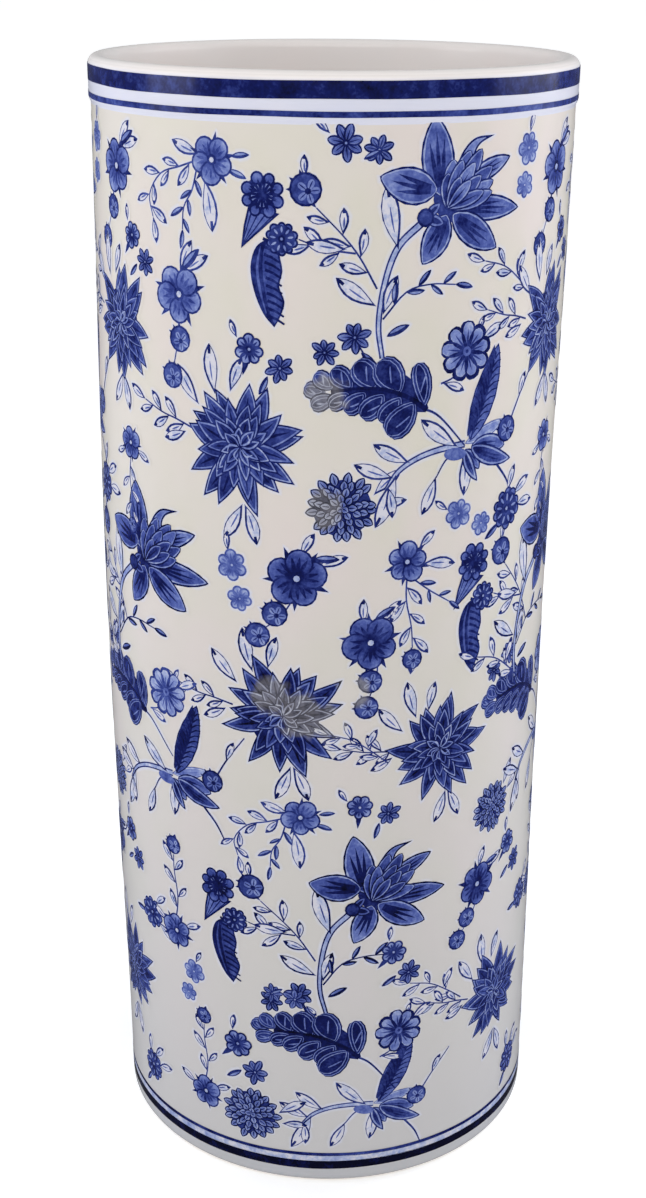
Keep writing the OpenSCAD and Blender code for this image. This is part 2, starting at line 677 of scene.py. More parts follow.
def pompom(r, rng):
    """A ball of small scale-like petals, pointed at the rim."""
    shapes = [disc(0.84 * r, 0.92, 24)]
    rows = ((16, 0.68, 0.35), (14, 0.50, 0.32), (11, 0.33, 0.30), (7, 0.16, 0.27), (3, 0.0, 0.22))
    for count, place, size in rows:
        for k in range(count):
            angle = 360.0 * k / count + rng.uniform(-7, 7) + place * 50
            scale = petal(size * r * rng.uniform(0.85, 1.15), 0.29 * r, 0.95, 0.2, 0.6, 0.8,
                          inks=(1.1, 0.28, 0.34), deep=1.05)
            shapes += moved(scale, outward(UP * place * r, angle), angle)
    return shapes


def daisy(r, rng):
    """Nine blunt petals, pale at the ends, with dark strokes between them."""
    def one(k):
        return petal(r * rng.uniform(0.88, 1.02), 0.56 * r, 1.0, 0.2, 0.9, 0.36,
                     inks=(1.0, 0.24, 0.34), deep=0.85)
    shapes = []
    for k in range(9):
        shapes += moved([flat(blade(1.04 * r, 0.62 * r, 0.9, 0.36), 1.05)], 0j, 40 * k)
    shapes += around(9, one, 3.0, rng)
    for k in range(9):
        ray = blade(0.80 * r, 0.15 * r, 0.9, 0.9, steps=5)
        shapes += moved([flat(ray, 0.98)], 0j, 40 * k + 20)
    return shapes + [disc(0.17 * r, 0.66, 10), disc(0.07 * r, 0.95, 7)]


def lobes(count, r, reach, size, inks, rng, phase):
    """Round overlapping petals, each with a rim and dark strokes fanning out from the root."""
    shapes = []
    for k in range(count):
        angle = 360.0 * k / count + phase + rng.uniform(-5, 5)
        big = size * r * rng.uniform(0.88, 1.12)
        lobe = [flat(ring(big, 14), inks[0])]
        lobe.append(graded(ring(big - 0.95, 12), inks[2], inks[1], -UP * reach * r * 0.7, UP * big))
        for lean in (-26, 0, 26):
            ray = blade(0.75 * r, 0.14 * r, 1.1, 0.9, steps=5)
            lobe += moved([flat(ray, inks[3])], -UP * reach * r, lean * 0.8)
        shapes += moved(lobe, outward(UP * reach * r, angle), angle)
    return shapes


def blossom(r, rng, inks=(0.95, 0.34, 0.78, 0.80)):
    """Five round petals with thorn-like sepals between them, and a ringed eye."""
    phase = rng.uniform(0, 72)
    shapes = []
    for k in range(5):
        thorn = blade(1.15 * r, 0.30 * r, 0.8, 1.2, steps=5)
        shapes += moved([flat(thorn, 0.97)], 0j, 72 * k + 36 + phase + rng.uniform(-8, 8))
    shapes += lobes(5, r, 0.54, 0.47, inks, rng, phase)
    return shapes + [disc(0.23 * r, 0.98, 10), disc(0.11 * r, 0.15, 8)]


def dark_blossom(r, rng):
    return blossom(r, rng, (0.98, 0.50, 0.95, 0.97))


def pale_blossom(r, rng):
    """A small flower in thin wash, its outline scalloped."""
    shapes = lobes(6, r, 0.60, 0.38, (0.62, 0.24, 0.45, 0.55), rng, rng.uniform(0, 60))
    return shapes + [disc(0.2 * r, 0.6, 8), disc(0.08 * r, 0.2, 6)]


def star(r, rng):
    """A small flower of seven pointed petals."""
    def one(k):
        return petal(r * rng.uniform(0.88, 1.12), 0.58 * r, 0.95, 0.1, 0.8, 0.62,
                     inks=(1.0, 0.36, 0.50), deep=1.0)
    petals = around(7, one, 7.0, rng, rng.uniform(0, 60))
    return petals + [disc(0.2 * r, 1.0, 7), disc(0.08 * r, 0.4, 5)]


def berry(r, rng):
    """A small round flower half open: thorny sepals on one side, pale petals on the other."""
    shapes = []
    turn = rng.uniform(20, 70)
    for lean in (-34, 0, 34):
        thorn = blade(1.2 * r, 0.40 * r, 0.8, 1.1, steps=4)
        shapes += moved([flat(thorn, 0.98)], 0j, turn + lean + rng.uniform(-8, 8))
    shapes += [disc(r, 0.98, 14), disc(r - 1.0, 0.76, 12)]
    heart = cmath.rect(0.18 * r, math.radians(turn - 90))
    for k in range(5):
        angle = 72 * k + turn + rng.uniform(-9, 9)
        pale = blade(0.60 * r, 0.40 * r, 0.5, 0.4, steps=5)
        ray = blade(0.55 * r, 0.09 * r, 0.8, 0.8, steps=4)
        place = heart + outward(UP * 0.14 * r, angle)
        shapes += moved([flat(pale, 0.40 + 0.06 * (k % 2)), flat(ray, 0.9)], place, angle)
    return shapes + [disc(0.2 * r, 0.98, 7, heart)]


def bud(r, rng):
    """A small scalloped flower seen from the side, with a spur below."""
    shapes = moved([flat(blade(1.7 * r, 0.45 * r, 0.6, 1.0, steps=5), 0.92)], 0j, 165)
    shapes += lobes(7, r, 0.62, 0.36, (0.95, 0.30, 0.62, 0.9), rng, rng.uniform(0, 50))
    return shapes + [disc(0.24 * r, 0.95, 8), disc(0.1 * r, 0.3, 6)]


CALYX = ((-0.75, -0.35), (0.72, -0.95), (-0.2, -1.55), (-1.45, -2.35), (-1.15, -1.3))


def ruffle(r, rng):
    """A frilled flower: two rows of small dark lobes over a striped, pointed calyx."""
    calyx = [complex(x, y) for x, y in scaled(CALYX, r)]
    middle = sum(calyx) / len(calyx)
    shapes = [flat(calyx, 0.96), flat([middle + (p - middle) * 0.80 for p in calyx], 0.52)]
    for k in range(4):
        root = complex((-0.55 + 0.36 * k) * r, (-0.5 - 0.13 * k) * r)
        shapes.append(flat(stroke([root, (root + calyx[3]) / 2, calyx[3] * 0.94], 0.8, 0.3), 0.93))
    shapes.append(disc(0.9 * r, 0.95, 16))
    shapes += lobes(8, r, 0.80, 0.33, (1.0, 0.50, 0.88, 1.0), rng, 12)
    shapes += lobes(5, r, 0.36, 0.29, (1.0, 0.34, 0.62, 1.0), rng, 30)
    return shapes + [disc(0.14 * r, 1.0, 7)]


def round_flower(r, rng):
    """A full round flower, almost solid ink, with a scalloped rim and a wheel of pale dashes."""
    shapes = lobes(10, r, 0.74, 0.27, (1.0, 0.52, 0.80, 0.97), rng, 0)
    shapes.append(disc(0.80 * r, 0.88, 16))
    for k in range(9):
        dash = blade(0.36 * r, 0.13 * r, 0.7, 0.7, steps=5)
        shapes += moved([flat(dash, 0.36)], outward(UP * 0.36 * r, 40 * k), 40 * k)
    return shapes + [disc(0.22 * r, 1.0, 8), disc(0.09 * r, 0.34, 6)]


LILY_PETALS = (  # root, tip, width, bend: the back petals first
    (-4 + 6j, -9 + 41j, 17.0, 0.03), (-6 + 9j, -34 + 12j, 17.0, 0.13),
    (10 + 12j, 34 + 23j, 9.5, 0.06), (3 + 0j, 42 + 0j, 12.5, 0.05), (2 - 2j, 27 - 21j, 15.0, -0.07),
    (-1 - 2j, -10 - 25j, 14.5, 0.12),
)
LILY_HORN = (  # the petal that curls over at the upper right: its back, then its front
    ((2, 8), (4, 20), (8, 27), (14, 31), (24, 31.5)), ((14, 12), (14, 18), (13, 23), (16, 28), (24, 31.5)),
)
LILY_HEART = (  # direction, length, width
    (86, 23, 9), (68, 28, 9), (52, 31, 9), (38, 30, 9), (24, 28, 8), (10, 24, 8),
    (92, 17, 8), (74, 22, 8), (56, 24, 8), (38, 23, 8), (20, 20, 7), (66, 15, 7), (44, 16, 7),
)


def lily(r, rng):
    """A large open flower on its side: long petals round a plume of narrow ones."""
    s = r / 37.0
    shapes = [disc(11 * s, 0.84, 14, (3 + 5j) * s)]
    back, front = [smooth_line(scaled(edge, s), 4) for edge in LILY_HORN]
    horn = back + front[::-1]
    shapes += [flat(horn, 0.97), flat(grown(horn, -0.9), 0.36)]
    shapes.append(graded(grown(horn, -1.5), 0.72, 0.42, 0j, 30j * s))
    for root, tip, width, bend in LILY_PETALS:
        shapes += laid(root * s, tip * s, width * s, line=0.95, rim=0.7, root=0.66, tip=0.80, bend=bend,
                       inks=(0.98, 0.30, rng.uniform(0.38, 0.54)), deep=0.92, veins=3)
    for lean, length, width in LILY_HEART:
        tip = cmath.rect(length * s * rng.uniform(0.95, 1.05), math.radians(lean))
        bend = rng.uniform(-0.12, 0.04)
        shapes += laid(-1.5 * s + 0j, tip, width * s, line=0.8, rim=0.6, root=0.9, tip=0.6, bend=bend,
                       inks=(0.97, 0.34, rng.uniform(0.46, 0.70)), deep=1.0)
    knob = complex(-11.5, -3.0) * s
    for tip, width in ((9 - 3j, 6), (7 + 6j, 5)):
        shapes += laid(knob, knob + tip * s, width * s, inks=(0.95, 0.5, 0.85))
    return shapes + [disc(4.3 * s, 0.95, 12, knob), disc(3.2 * s, 0.78, 10, knob)]


# ---------------------------------------------------------------- leaves and stems

def open_leaf(length, rng):
    """A stalked leaf left bare inside, its outline heavier on one side, with a broken vein."""
    wide, bend = 0.34 * length * (1.25 - length / 80.0), 0.12
    look = dict(root=1.35, tip=0.95, bend=bend)
    shapes = [flat(blade(length, wide, **look), 0.88)]
    bare = blade(length, wide, inset=0.8, steps=7, **look)
    if bare:
        shapes += moved([graded(bare, 0.10, 0.0, 0j, UP * length)], complex(rng.choice((-0.3, 0.3)), 0.0))
    vein = [spine(length, bend, t) for t in (0.28, 0.4, 0.55, 0.66)]
    shapes.append(flat(stroke(vein, 0.3, 0.3, 0.6), 0.62))
    tip = [spine(length, bend, t) for t in (0.80, 0.9, 1.0)]
    return shapes + [flat(stroke(tip, 1.4, 0.4, 0.8), 0.95)]


def dark_leaf(length, rng):
    """A small leaf filled with ink, one side of it paler."""
    wide = 0.32 * length
    light = flat(blade(0.68 * length, 0.36 * wide, 0.8, 0.8, 0.10), 0.42)
    place = complex(-0.12 * wide, 0.16 * length)
    return [flat(blade(length, wide, 0.8, 0.8, 0.10), 0.96)] + moved([light], place)


def feather(length, rng):
    """A long leaf with a dark half and a light half, barred with fine veins."""
    wide, bend = 0.31 * length, -0.08
    look = dict(root=0.75, tip=0.85, bend=bend)
    shapes = [flat(blade(length, wide, **look), 0.96)]
    shapes.append(graded(blade(length, wide, inset=0.8, **look), 0.58, 0.66, 0j, UP * length))
    rib = [spine(length, bend, t) for t in (0.02, 0.2, 0.4, 0.6, 0.8, 0.97)]
    shade = blade(0.94 * length, 0.52 * wide, 0.75, 0.85, bend)
    shapes += moved([flat(shade, 0.90)], complex(-0.17 * wide, 0.03 * length))
    for k in range(1, 12):
        t = k / 13
        root = spine(length, bend, t)
        half = 0.44 * wide * math.sin(math.pi * t ** 0.8)
        for side in (-1, 1):
            end = root + complex(side * half, 0.7 * half + 0.03 * length)
            barb = [root, (root + end) / 2 + 0.03j * length, end * 1.01]
            shapes.append(flat(stroke(barb, 1.1, 0.5), 1.0))
    return shapes + [flat(stroke(rib, 1.2, 0.3), 0.97)]


CRESCENT_BACK = ((0.0, 0.0), (0.20, 0.10), (0.29, 0.32), (0.27, 0.58), (0.18, 0.84), (0.06, 1.0))
CRESCENT_FRONT = (
    (-0.10, 0.02), (-0.06, 0.18), (-0.08, 0.38), (-0.03, 0.55), (-0.08, 0.72), (-0.02, 0.88), (0.06, 1.0),
)


def crescent(length, rng):
    """A long leaf that curls over: solid ink down its back, barred down its front."""
    back = smooth_line(scaled(CRESCENT_BACK, length), 4)
    front = smooth_line(scaled(CRESCENT_FRONT, length), 3)
    shapes = [flat(back + front[::-1], 0.97)]
    heart = sum(back + front) / len(back + front)
    pale = smooth_line([(x * length + 0.9, y * length) for x, y in CRESCENT_FRONT[:-1]], 3)
    rib = smooth_line([(0.45 * (x + 0.03) * length + 0.3, y * length) for x, y in CRESCENT_BACK], 4)
    shapes.append(flat(pale + [heart + (p - heart) * 0.95 for p in rib[::-1]], 0.74))
    for k in range(11):
        t = 0.04 + 0.085 * k
        root = complex(0.12 * length, (t - 0.02) * length)
        end = complex(-0.06 * length, (t + 0.08) * length)
        shapes.append(flat(stroke([root, (root + end) / 2 - 0.5j, end], 1.5, 0.9), 1.0))
    shine = smooth_line([((x * 0.62 + 0.03) * length, y * length) for x, y in CRESCENT_BACK[1:-1]], 3)
    return shapes + [flat(stroke(shine, 0.4, 0.4, 0.9), 0.68)]


def folded_leaf(length, rng):
    """A broad leaf folded along its rib, the far half showing behind."""
    far = petal(0.85 * length, 0.40 * length, 0.9, 0.8, 0.7, 0.7, 0.2, inks=(0.95, 0.34, 0.50), veins=2)
    near = petal(1.1 * length, 0.38 * length, 0.9, 0.9, 0.6, 0.8, -0.24,
                 inks=(0.96, 0.36, 0.66), deep=0.95, veins=2)
    return moved(far, 0j, 26) + moved(near, 0j, -12)


OAK_RIB = ((0.0, 0.0), (0.08, 0.15), (0.135, 0.37), (0.12, 0.60), (0.07, 0.80))
OAK_LOBES = (  # across, along, length and width in shares of the leaf's length, lean: the tip first
    (0.06, 0.84, 0.17, 0.15, 4), (0.09, 0.79, 0.18, 0.16, -36), (0.04, 0.78, 0.19, 0.15, 40),
    (0.11, 0.64, 0.22, 0.19, -44), (0.08, 0.66, 0.19, 0.16, 52), (0.10, 0.53, 0.22, 0.18, 58),
    (0.13, 0.45, 0.27, 0.24, -50), (0.10, 0.38, 0.25, 0.20, 62), (0.12, 0.25, 0.31, 0.27, -54),
    (0.09, 0.24, 0.25, 0.19, 66), (0.06, 0.12, 0.33, 0.25, 64), (0.02, 0.03, 0.36, 0.18, -80),
)


def oak_leaf(length, rng):
    """A lobed leaf: broad dark lobes, ringed with fine pale lines, one over the other along a
    dark rib. The tip is paler."""
    rib = smooth_line(scaled(OAK_RIB, length), 4)
    shapes = [flat(stroke(rib, 0.04 * length, 0.14 * length, 0.24 * length), 0.98)]
    for across, along, reach, width, lean in OAK_LOBES:
        light = 0.16 if along > 0.7 else 0.0
        look = dict(root=0.62, tip=0.38, bend=0.16 if lean > 0 else -0.16)
        lobe = []
        for inset, ink in ((0.0, 1.05), (0.85, 0.44), (1.35, 0.92), (2.5, 0.40), (2.95, 0.97)):
            line = blade(reach * length, width * length, inset=inset, steps=7, **look)
            if line:
                lobe.append(flat(line, ink - (light if inset > 1 and ink > 0.5 else 0.0)))
        curl = scaled(((-0.03, 0.35 * reach), (0.0, 0.6 * reach), (0.02, 0.74 * reach)), length)
        lobe.append(flat(stroke(smooth_line(curl, 3), 0.4, 0.4, 0.4), 0.46))
        shapes += moved(lobe, complex(across, along) * length, lean + rng.uniform(-4, 4))
    return shapes + [flat(stroke(rib, 0.045 * length, 1.1), 1.12)]


def stem(points, width):
    return [flat(stroke(smooth_line(points), width, width * 0.6), 0.86)]


def thick_stem(points):
    """A stem drawn as two lines with a pale wash between them."""
    line = smooth_line(points)
    return [flat(stroke(line, 3.8, 2.6), 0.84), flat(stroke(line, 2.2, 1.0), 0.20)]


def blot(length, rng):
    """A spot of ink where stems and leaves meet."""
    return [flat(blade(length, 0.5 * length, 0.5, 0.5), 0.55)]


def petal_leaf(length, rng):
    """A soft leaf in pale wash."""
    return petal(length, 0.26 * length, 0.5, 0.6, 0.8, 0.8, 0.0, inks=(0.5, 0.18, 0.26), deep=0.45)


def sprig(points, leaf, length, rng):
    """A stem with leaves to the left and right of it in turn, and one at its end."""
    line = smooth_line(points, 4)
    shapes = [flat(stroke(line, 0.95, 0.6), 0.84)]
    side = 1
    for k in range(2, len(line) - 1, 2):
        ahead = math.degrees(cmath.phase(line[k] - line[k - 1])) - 90.0
        size = length * rng.uniform(0.8, 1.1)
        shapes += moved(leaf(size, rng), line[k], ahead + side * rng.uniform(38, 52), 1.0, side < 0)
        side = -side
    ahead = math.degrees(cmath.phase(line[-1] - line[-2])) - 90.0
    return shapes + moved(leaf(length, rng), line[-1], ahead)


# ---------------------------------------------------------------- composition
# A spray is drawn in order, later over earlier, in millimetres from its own middle. Flowers and
# leaves are (motif, across, up, turn in degrees, size); stems and sprigs are (kind, points, ...).

LILY_BRANCH = [
    (thick_stem, [(-13, -5), (-24, -15), (-30, -30), (-33, -50), (-31, -66)]),
    (open_leaf, -24, -17, 18, 30), (open_leaf, -34, -42, 62, 23), (open_leaf, -31, -46, -14, 19),
    (sprig, [(-31, -48), (-20, -36), (-8, -33), (5, -34)], dark_leaf, 10),
    (dark_leaf, -29, -56, -60, 12), (lily, 0, 0, 0, 37),
]
NOSEGAY = [
    (sprig, [(44, -22), (36, -8), (28, 2), (16, 14)], open_leaf, 13),
    (sprig, [(34, -6), (20, -4), (8, 0)], open_leaf, 14), (open_leaf, 30, -4, 88, 19),
    (crescent, -4, 1, 184, 41), (ruffle, -9, 19, 8, 9.5), (open_leaf, 11, 27, 10, 10),
    (berry, 11, 22, 0, 7.6), (round_flower, 0, 0, 0, 7.8),
]
DAHLIA_SPRAY = [
    (open_leaf, 1, -28, 158, 21), (open_leaf, 2, -28, 204, 21),
    (open_leaf, -13, 24, 14, 24), (open_leaf, -22, 18, 42, 22), (open_leaf, -5, 26, -14, 18),
    (sprig, [(-26, 6), (-36, 9), (-46, 11), (-58, 15)], open_leaf, 13), (open_leaf, -30, 4, 118, 15),
    (dahlia, 0, 0, 0, 30),
]
OAK_SPRAY = [
    (stem, [(-6, 0), (3, -5), (18, -21)], 1.3), (stem, [(-40, 34), (-34, 25), (-28, 18)], 0.9),
    (dark_leaf, -37, 28, -130, 11), (oak_leaf, -4, -1, 82, 60),
    (star, -40, 35, 10, 7.6), (star, -54, 28, 0, 6.6),
]
DAISY_SPRAY = [
    (stem, [(-14, -14), (-8, -12), (-2, -8)], 1.0), (open_leaf, 8, 4, -58, 16), (open_leaf, 6, 8, -20, 9),
    (open_leaf, -13, -14, -104, 13), (daisy, 0, 0, 0, 14),
]
JUNCTION = [
    (thick_stem, [(0, 1), (-14, 0), (-26, -3), (-36, -9), (-42, -18)]),
    (open_leaf, -4, 0, 60, 26), (open_leaf, -30, -5, 68, 21), (open_leaf, -38, -12, 76, 21),
    (open_leaf, -37, -10, 166, 28), (open_leaf, -41, -16, 196, 16), (open_leaf, 0, -2, 188, 23),
    (stem, [(-4, -1), (-11, -6), (-16, -14)], 1.1), (open_leaf, -16, -13, 166, 20),
    (folded_leaf, 0, -2, 206, 17), (petal_leaf, 0, 1, -72, 27), (stem, [(31, 8), (38, 20), (48, 34)], 1.1),
    (open_leaf, 37, 18, -14, 13), (feather, 3, 2, -24, 48), (folded_leaf, 4, -1, -112, 27),
    (stem, [(22, -13), (30, -22), (35, -31)], 1.4), (berry, 28, 4, 0, 6.8), (blot, 1, -4, 85, 13),
]
POMPOM_SPRAY = [(open_leaf, 15, 6, -42, 18), (open_leaf, 18, 0, -72, 14), (pompom, 0, 0, 0, 17)]
CROWN_BLOSSOM = [
    (open_leaf, 3, 10, -50, 17), (open_leaf, 1, 10, -18, 17), (dark_leaf, 2, 11, -38, 15),
    (stem, [(0, 0), (-1, -20), (-5, -38)], 0.9), (berry, -5, -39, 0, 6.4), (berry, 0, -21, 0, 6.4),
    (blossom, 0, 0, 0, 14),
]
DARK_BLOSSOM = [
    (open_leaf, 10, 6, -64, 16), (dark_leaf, 8, 10, -84, 13), (open_leaf, 2, 11, -22, 14),
    (stem, [(0, -8), (-8, -20), (-20, -30)], 0.9), (berry, -20, -31, 0, 6.8), (berry, -11, -19, 0, 6.8),
    (dark_blossom, 0, 0, 0, 15),
]
HANGING_BLOSSOM = [
    (sprig, [(-6, 0), (-18, -4), (-30, -8), (-38, -18), (-36, -28)], open_leaf, 12),
    (sprig, [(-8, -4), (-11, -14), (-16, -22), (-17, -32)], dark_leaf, 9), (open_leaf, -4, -8, 196, 24),
    (dark_leaf, 8, -4, -104, 10), (open_leaf, -6, 2, 78, 17), (dark_leaf, 10, 2, -78, 9),
    (blossom, 0, 0, 0, 11),
]
SPRIG_BLOSSOM = [
    (sprig, [(0, -6), (0, -20), (3, -34), (4, -46)], open_leaf, 14),
    (sprig, [(2, -8), (12, -16), (24, -24)], dark_leaf, 9),
    (open_leaf, 8, -2, -90, 19), (open_leaf, 6, 6, -38, 12), (berry, 4, -52, 0, 5.6), (blossom, 0, 0, 0, 11),
]
BERRY_STALK = [
    (sprig, [(0, 8), (2, 22), (0, 38), (0, 48)], open_leaf, 13), (open_leaf, -7, 3, 72, 14),
    (open_leaf, 6, 4, -60, 13), (berry, 0, 54, 0, 5.6), (blossom, 0, 0, 0, 11),
]
BUD_PAIR = [
    (bud, -7, 4, 0, 7.6), (star, 8, -4, 0, 7.2), (dark_leaf, 2, -8, 160, 10), (open_leaf, -13, 9, 30, 9),
]
STAR_PAIR = [
    (star, -7, 2, 0, 8.2), (star, 8, -1, 20, 6.8), (open_leaf, -14, 6, 50, 10), (dark_leaf, 1, -5, -60, 9),
]
PALE_PAIR = [(open_leaf, -2, 7, 10, 10), (pale_blossom, 0, 0, 0, 8.4), (pale_blossom, 4, -17, 0, 6.8)]
ROUND_SPRAY = [
    (open_leaf, 5, 6, -56, 16), (open_leaf, 0, 9, -14, 14), (open_leaf, 8, 0, -84, 16),
    (dark_leaf, -6, -6, 130, 12), (round_flower, 0, 0, 0, 11),
]
LEAF_SPRIG = [
    (sprig, [(18, -14), (6, -4), (-6, 4), (-20, 8)], open_leaf, 13), (open_leaf, 4, -2, -20, 14),
]

PLACES = (  # name and spray, then where: round the wall, height, turn in degrees, scale
    ("lily", LILY_BRANCH, (("upper", 56, 540, 0, 1.0), ("edge", -104, 360, 0, 1.02),
        ("lower", 26, 184, 5, 1.0))),
    ("nosegay", NOSEGAY, (("upper", -22, 528, 0, 1.0), ("middle", 87, 347, -4, 1.0),
        ("lower", -50, 168, 3, 1.0))),
    ("dahlia", DAHLIA_SPRAY, (("left", -43, 430, 0, 1.0), ("edge", 132, 479, 0, 0.88),
        ("middle", -22, 292, 6, 1.0), ("right", 62, 268, 8, 0.9), ("lower", 112, 100, 0, 0.92))),
    ("oak", OAK_SPRAY, (("upper", 52, 449, 0, 1.0), ("edge", 150, 276, 0, 0.95),
        ("lower", 24, 86, -6, 1.05))),
    ("junction", JUNCTION, (("upper", 70, 428, 0, 1.0), ("edge", -88, 245, 0, 0.95),
        ("lower", 28, 53, -6, 0.92))),
    ("daisy", DAISY_SPRAY, (("upper", 69, 474, 0, 1.0), ("edge", -91, 292, 0, 0.95),
        ("lower", 42, 100, 10, 0.95))),
    ("pompom", POMPOM_SPRAY, (("upper", 7, 402, 0, 1.0), ("edge", 102, 222, 20, 0.86),
        ("lower", -42, 43, -10, 1.03))),
    ("crown", CROWN_BLOSSOM, (("left", -76, 499, 0, 1.0), ("edge", 132, 553, -14, 0.95))),
    ("dark", DARK_BLOSSOM, (("middle", -15, 366, 0, 1.0), ("right", 22, 332, 30, 0.95),
        ("lower", 92, 178, 8, 0.9))),
    ("hanging", HANGING_BLOSSOM, (("upper", -56, 561, 0, 1.0), ("middle", -13, 235, 0, 0.95))),
    ("sprig", SPRIG_BLOSSOM, (("middle", 40, 373, 0, 1.0),)),
    ("stalk", BERRY_STALK, (("lower", -90, 148, 0, 1.0), ("low", -72, 48, 0, 0.95))),
    ("sprig", BERRY_STALK, (("edge", 139, 420, 180, 0.8),)),
    ("round", ROUND_SPRAY, (("right", 102, 390, 0, 1.0), ("low", 134, 42, 20, 0.9),
        ("edge", 142, 150, -30, 0.9))),
    ("buds", BUD_PAIR, (("left", -31, 473, 0, 1.0), ("middle", 25, 238, 10, 0.95),
        ("low", -45, 80, -30, 1.15), ("edge", 150, 517, -20, 0.9))),
    ("stars", STAR_PAIR, (("upper", 14, 568, 0, 1.0), ("low", -22, 125, 180, 0.85))),
    ("buds", BUD_PAIR, (("lower", 42, 144, -30, 1.0), ("side", 124, 186, -30, 1.0))),
    ("pale", PALE_PAIR, (("upper", 104, 564, -20, 0.95), ("middle", -48, 370, 0, 1.0),
        ("right", 68, 394, 50, 0.95), ("lower", -78, 126, -30, 0.9))),
    ("leaves", LEAF_SPRIG, (("upper", 96, 508, 0, 0.9), ("edge", 104, 306, 0, 1.0),
        ("middle", 18, 276, 0, 0.8), ("lower", 66, 122, 0, 0.9))),
)
FLOWERS = (dahlia, pompom, daisy, blossom, dark_blossom, pale_blossom, star, berry, bud, ruffle,
           round_flower, lily)
STRONG = {  # how much deeper than usual the ink of a spray is
    "lily_lower": 1.22, "lily_edge": 1.15, "dahlia_middle": 1.12, "dahlia_right": 1.08, "junction_edge": 1.12,
    "oak_lower": 1.08, "nosegay_lower": 1.1, "hanging_upper": 0.85, "crown_left": 0.9,
    "hanging_middle": 0.9, "daisy_edge": 0.8, "sprig_middle": 0.95,
}
FADED = (  # where the cobalt turned grey, and how far round that
    (-28 + 303j, 13.0), (-13 + 293j, 16.0), (3 + 290j, 13.0), (-3 + 402j, 13.0), (-3 + 455j, 15.0),
    (14 + 306j, 12.0),
)


def drawn(entry, rng):
    """The shapes of one entry in a spray."""
    kind = entry[0]
    if kind is sprig:
        return sprig(*entry[1:], rng)
    if kind in (stem, thick_stem):
        return kind(*entry[1:])
    _, across, up, turn, size = entry
    return moved(kind(size, rng), complex(across, up), turn)


# ---------------------------------------------------------------- from flat to round

CUT = 4.0   # the sheets are cut into strips no wider than this, so that they follow the wall
GAP = 0.02  # points of an outline closer than this become one


def anticlockwise(outline):
    area = sum((a.conjugate() * b).imag for a, b in zip(outline, outline[1:] + outline[:1]))
    return outline if area > 0 else outline[::-1]


def depth(shape, p):
    """The ink of a shape at a point."""
    _, first, last, start, end = shape
    run = end - start
    t = ((p - start) * run.conjugate()).real / abs(run) ** 2
    return first + (last - first) * min(1.0, max(0.0, t))


def flattened(shapes):
    """One sheet of triangles with no overlaps: each shows the last shape drawn over it."""
    shapes = [(without_doubles(s[0], GAP), *s[1:]) for s in shapes]
    shapes = [(anticlockwise(s[0]), *s[1:]) for s in shapes if len(s[0]) > 2]
    points, faces, edges = [], [], []
    for outline, *_ in shapes:
        faces.append(list(range(len(points), len(points) + len(outline))))
        points += [Vector((p.real, p.imag)) for p in outline]
    low = [min(p[i] for p in points) for i in (0, 1)]
    high = [max(p[i] for p in points) for i in (0, 1)]
    for k in range(math.ceil(low[0] / CUT), math.floor(high[0] / CUT) + 1):
        edges.append((len(points), len(points) + 1))
        points += [Vector((k * CUT, low[1] - 1)), Vector((k * CUT, high[1] + 1))]
    out, _, tris, _, _, owners = geometry.delaunay_2d_cdt(points, edges, faces, 1, 1e-4)
    kept = [(tri, shapes[max(own)]) for tri, own in zip(tris, owners) if own]
    flat_points = [complex(v[0], v[1]) for v in out]
    inks = [[depth(shape, flat_points[i]) for i in tri] for tri, shape in kept]
    return flat_points, [tri for tri, _ in kept], inks


def wall_normal(radius, angle, height):
    """The turned surface's own normal, so that the gloss runs unbroken over paint and glaze."""
    here = on_wall(radius, angle, height)
    along = on_wall(radius, angle + 0.004, height) - here
    up = on_wall(radius, angle, height + 1.0) - here
    return along.cross(up).normalized()


def fading(p):
    """How grey the cobalt turned at a point of the drawing."""
    return max([0.0] + [1.6 - 1.5 * abs(p - spot) / radius for spot, radius in FADED])


def painted(name, sheet, turn, lift, material):
    """A sheet of paint wrapped round the wall, turned by a share of its girth."""
    flat_points, tris, inks = sheet
    used = sorted({i for t in tris for i in t})
    index = {old: new for new, old in enumerate(used)}
    spots = [((flat_points[i].real + turn) / WALL_R, flat_points[i].imag) for i in used]
    points = [on_wall(WALL_R + lift, a, z) for a, z in spots]
    mesh = bpy.data.meshes.new(name)
    mesh.from_pydata(points, [], [[index[i] for i in t] for t in tris])
    mesh.materials.append(material)
    ink = mesh.attributes.new("ink", "FLOAT", "CORNER")
    ink.data.foreach_set("value", [v for corners in inks for v in corners])
    faded = mesh.attributes.new("faded", "FLOAT", "POINT")
    faded.data.foreach_set("value", [fading(flat_points[i]) for i in used])
    mesh.shade_smooth()
    mesh.normals_split_custom_set_from_vertices([wall_normal(WALL_R, a, z) for a, z in spots])
    return linked(name, mesh)


def grown(outline, margin):
    """The outline pushed outward by a margin."""
    outline = anticlockwise(without_doubles(outline, GAP))
    count = len(outline)
    out = []
    for k, p in enumerate(outline):
        ahead, behind = outline[(k + 1) % count] - p, p - outline[k - 1]
        side = ahead / abs(ahead) + behind / abs(behind)
        out.append(p + (side / abs(side) if abs(side) > 0.1 else behind / abs(behind)) * -1j * margin)
    return out


def halo_sheet(shapes):
    """The pale blue bleed round the painting: full strength beside it, nothing further out."""
    near = [flat(grown(s[0], BLEED_FULL), 1.0) for s in shapes]
    far = [flat(grown(s[0], BLEED_END), 0.0) for s in shapes]
    flat_points, tris, levels = flattened(far + near)
    full = {i for t, level in zip(tris, levels) if level[0] == 1.0 for i in t}
    return flat_points, tris, [[1.0 if i in full else 0.0 for i in t] for t in tris]


